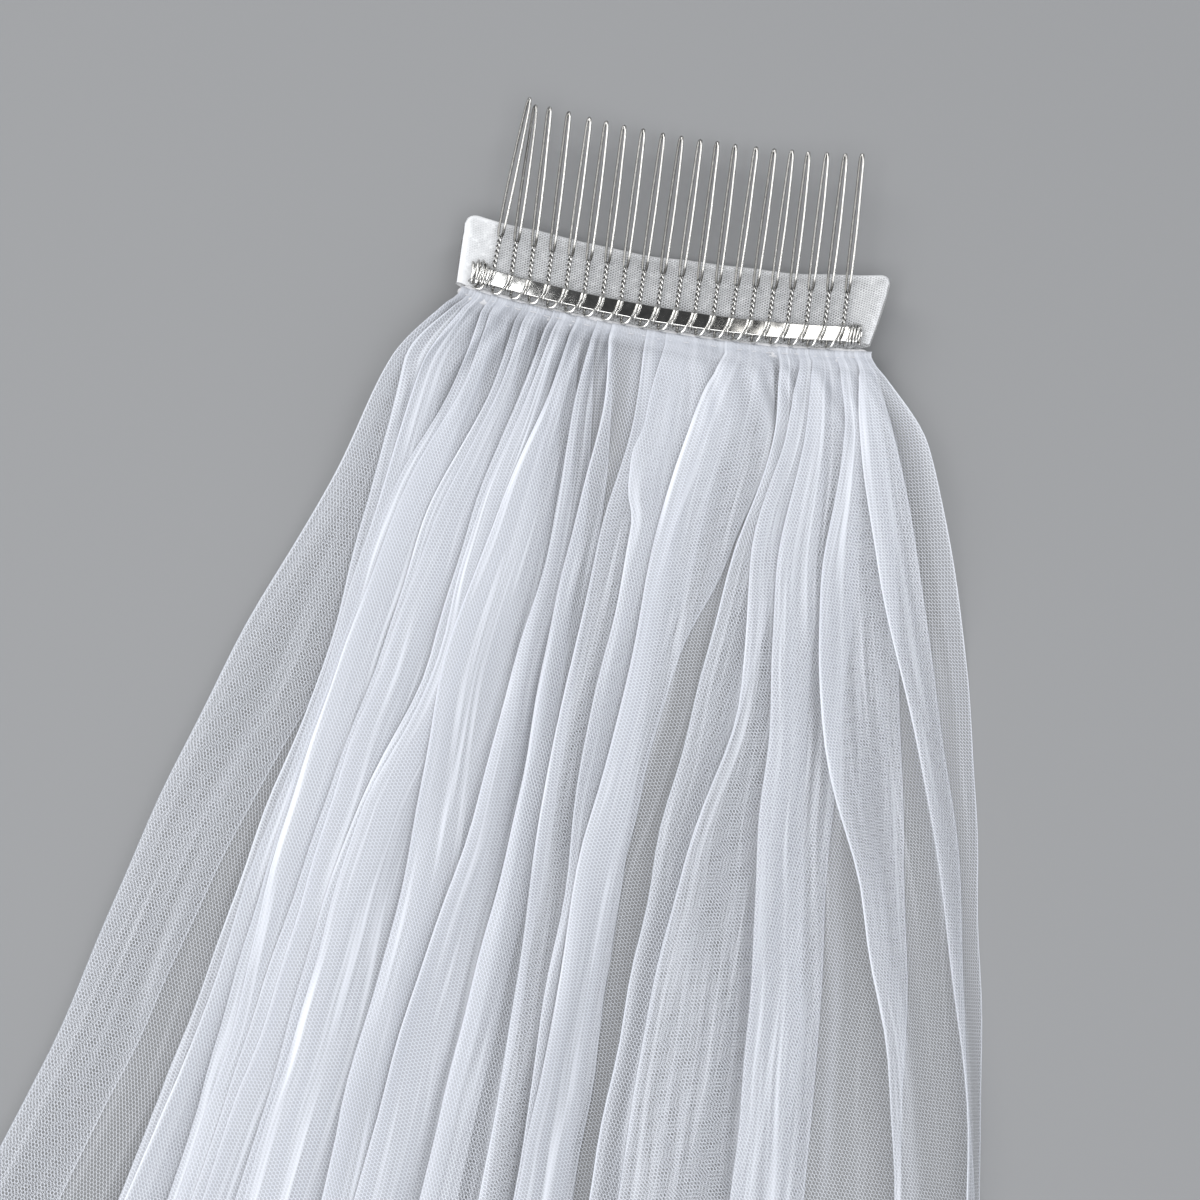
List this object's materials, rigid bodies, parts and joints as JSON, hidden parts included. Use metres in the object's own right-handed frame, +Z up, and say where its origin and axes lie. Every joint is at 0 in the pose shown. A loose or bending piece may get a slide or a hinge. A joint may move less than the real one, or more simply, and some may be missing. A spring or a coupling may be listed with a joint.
{
  "type": "bridal veil",
  "caption": "Gathered net veil on a folded band with a curved wire hair comb, laid out flat in long loose folds.",
  "frame": {"origin": "under the middle of the whole veil, on the surface it lies on", "axes": "+Z up from the surface, +Y along the veil from hem to comb teeth, +X to the right when seen from above with the teeth away from the viewer"},
  "size_m": [0.4496, 0.7932, 0.0137],
  "materials": {
    "tulle_net": "soft matte white net",
    "band_net": "matte white folded net",
    "seam_net": "matte white gathered net",
    "comb_metal": "polished"
  },
  "bodies": {
    "root": {"veil_tulle": "tulle_net", "gather_band": "band_net", "seam_ridge": "seam_net", "comb_strip": "comb_metal", "comb_coil_left": "comb_metal", "comb_coil_right": "comb_metal", "comb_tooth_01": "comb_metal", "comb_tooth_02": "comb_metal", "comb_tooth_03": "comb_metal", "comb_tooth_04": "comb_metal", "comb_tooth_05": "comb_metal", "comb_tooth_06": "comb_metal", "comb_tooth_07": "comb_metal", "comb_tooth_08": "comb_metal", "comb_tooth_09": "comb_metal", "comb_tooth_10": "comb_metal", "comb_tooth_11": "comb_metal", "comb_tooth_12": "comb_metal", "comb_tooth_13": "comb_metal", "comb_tooth_14": "comb_metal", "comb_tooth_15": "comb_metal", "comb_tooth_16": "comb_metal", "comb_tooth_17": "comb_metal", "comb_tooth_18": "comb_metal", "comb_tooth_19": "comb_metal", "comb_tooth_20": "comb_metal"}
  },
  "joints": []
}
